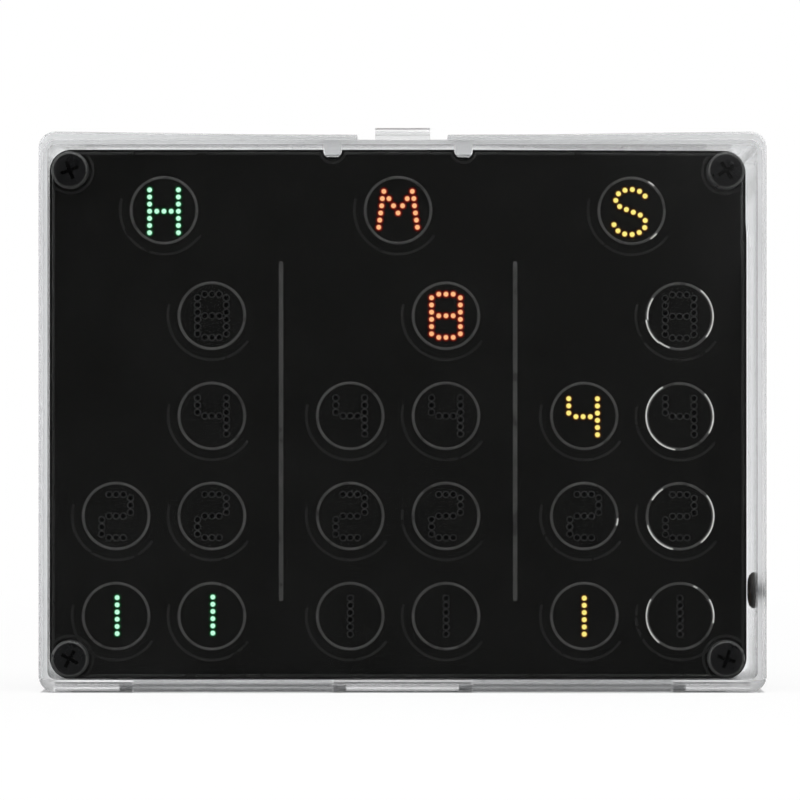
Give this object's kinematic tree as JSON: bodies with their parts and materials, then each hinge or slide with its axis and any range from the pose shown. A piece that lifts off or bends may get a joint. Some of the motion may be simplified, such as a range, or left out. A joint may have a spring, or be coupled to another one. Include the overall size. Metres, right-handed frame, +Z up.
{
  "type": "binary clock",
  "caption": "Desk clock that shows the time as columns of dot-pattern lamps behind a black panel, in a clear hinged box with a thumb tab.",
  "frame": {"origin": "in the plane of the base, half way across the box and half way from the lid's face to the button tips", "axes": "+Z up, the dial faces -Y, +X to the right of someone who looks at the dial"},
  "size_m": [0.1008, 0.0296, 0.0781],
  "materials": {
    "clear_plastic": "clear moulded polystyrene",
    "panel_black": "gloss black solder mask",
    "board_black": "black solder mask",
    "black_steel": "black oxide",
    "spacer_nickel": "nickel plated brass, turned",
    "soft_rubber": "matte",
    "lamp_green": "diffused green",
    "lamp_red": "diffused red",
    "lamp_yellow": "diffused yellow",
    "component_black": "moulded",
    "button_stem": "moulded",
    "bright_metal": "nickel plated",
    "can_sleeve": "dark sleeve",
    "resistor_coat": "lacquered",
    "ceramic_coat": "dipped",
    "header_plastic": "moulded"
  },
  "bodies": {
    "case_and_module": {"button_1_base": "component_black", "button_2_base": "component_black", "button_3_base": "component_black", "buzzer": "component_black", "cable_grommet": "soft_rubber", "cell_clip": "bright_metal", "cell_holder": "component_black", "ceramic_capacitor_1": "ceramic_coat", "ceramic_capacitor_2": "ceramic_coat", "clock_chip": "component_black", "clock_socket": "component_black", "coin_cell": "bright_metal", "controller_chip": "component_black", "controller_socket": "component_black", "driver_transistor_1": "component_black", "driver_transistor_2": "component_black", "driver_transistor_3": "component_black", "front_panel": "panel_black", "front_spacers": "spacer_nickel", "led_hour_ones_1": "lamp_green", "led_hour_ones_2": "lamp_green", "led_hour_ones_4": "lamp_green", "led_hour_ones_8": "lamp_green", "led_hour_tens_1": "lamp_green", "led_hour_tens_2": "lamp_green", "led_hours_label": "lamp_green", "led_minute_ones_1": "lamp_red", "led_minute_ones_2": "lamp_red", "led_minute_ones_4": "lamp_red", "led_minute_ones_8": "lamp_red", "led_minute_tens_1": "lamp_red", "led_minute_tens_2": "lamp_red", "led_minute_tens_4": "lamp_red", "led_minutes_label": "lamp_red", "led_second_ones_1": "lamp_yellow", "led_second_ones_2": "lamp_yellow", "led_second_ones_4": "lamp_yellow", "led_second_ones_8": "lamp_yellow", "led_second_tens_1": "lamp_yellow", "led_second_tens_2": "lamp_yellow", "led_second_tens_4": "lamp_yellow", "led_seconds_label": "lamp_yellow", "main_board": "board_black", "panel_screws": "black_steel", "power_header": "header_plastic", "programming_header": "component_black", "rear_spacers": "spacer_nickel", "series_resistor_1": "resistor_coat", "series_resistor_2": "resistor_coat", "series_resistor_3": "resistor_coat", "series_resistor_4": "resistor_coat", "supply_capacitor": "can_sleeve", "tray": "clear_plastic", "watch_crystal": "bright_metal"},
    "lid": {"lid": "clear_plastic"},
    "button_1": {"button_1_stem": "button_stem"},
    "button_2": {"button_2_stem": "button_stem"},
    "button_3": {"button_3_stem": "button_stem"}
  },
  "joints": [
    {"name": "lid_hinge", "type": "hinge", "parent": "case_and_module", "child": "lid", "pos_m": [0, -0.01405, 0.0007], "axis": [1, 0, 0], "range_deg": [0, 90]},
    {"name": "button_1_press", "type": "slide", "parent": "case_and_module", "child": "button_1", "axis": [0, -1, 0], "range_m": [0, 0.00025], "stiffness_N_per_m": 800},
    {"name": "button_2_press", "type": "slide", "parent": "case_and_module", "child": "button_2", "axis": [0, -1, 0], "range_m": [0, 0.00025], "stiffness_N_per_m": 800},
    {"name": "button_3_press", "type": "slide", "parent": "case_and_module", "child": "button_3", "axis": [0, -1, 0], "range_m": [0, 0.00025], "stiffness_N_per_m": 800}
  ]
}
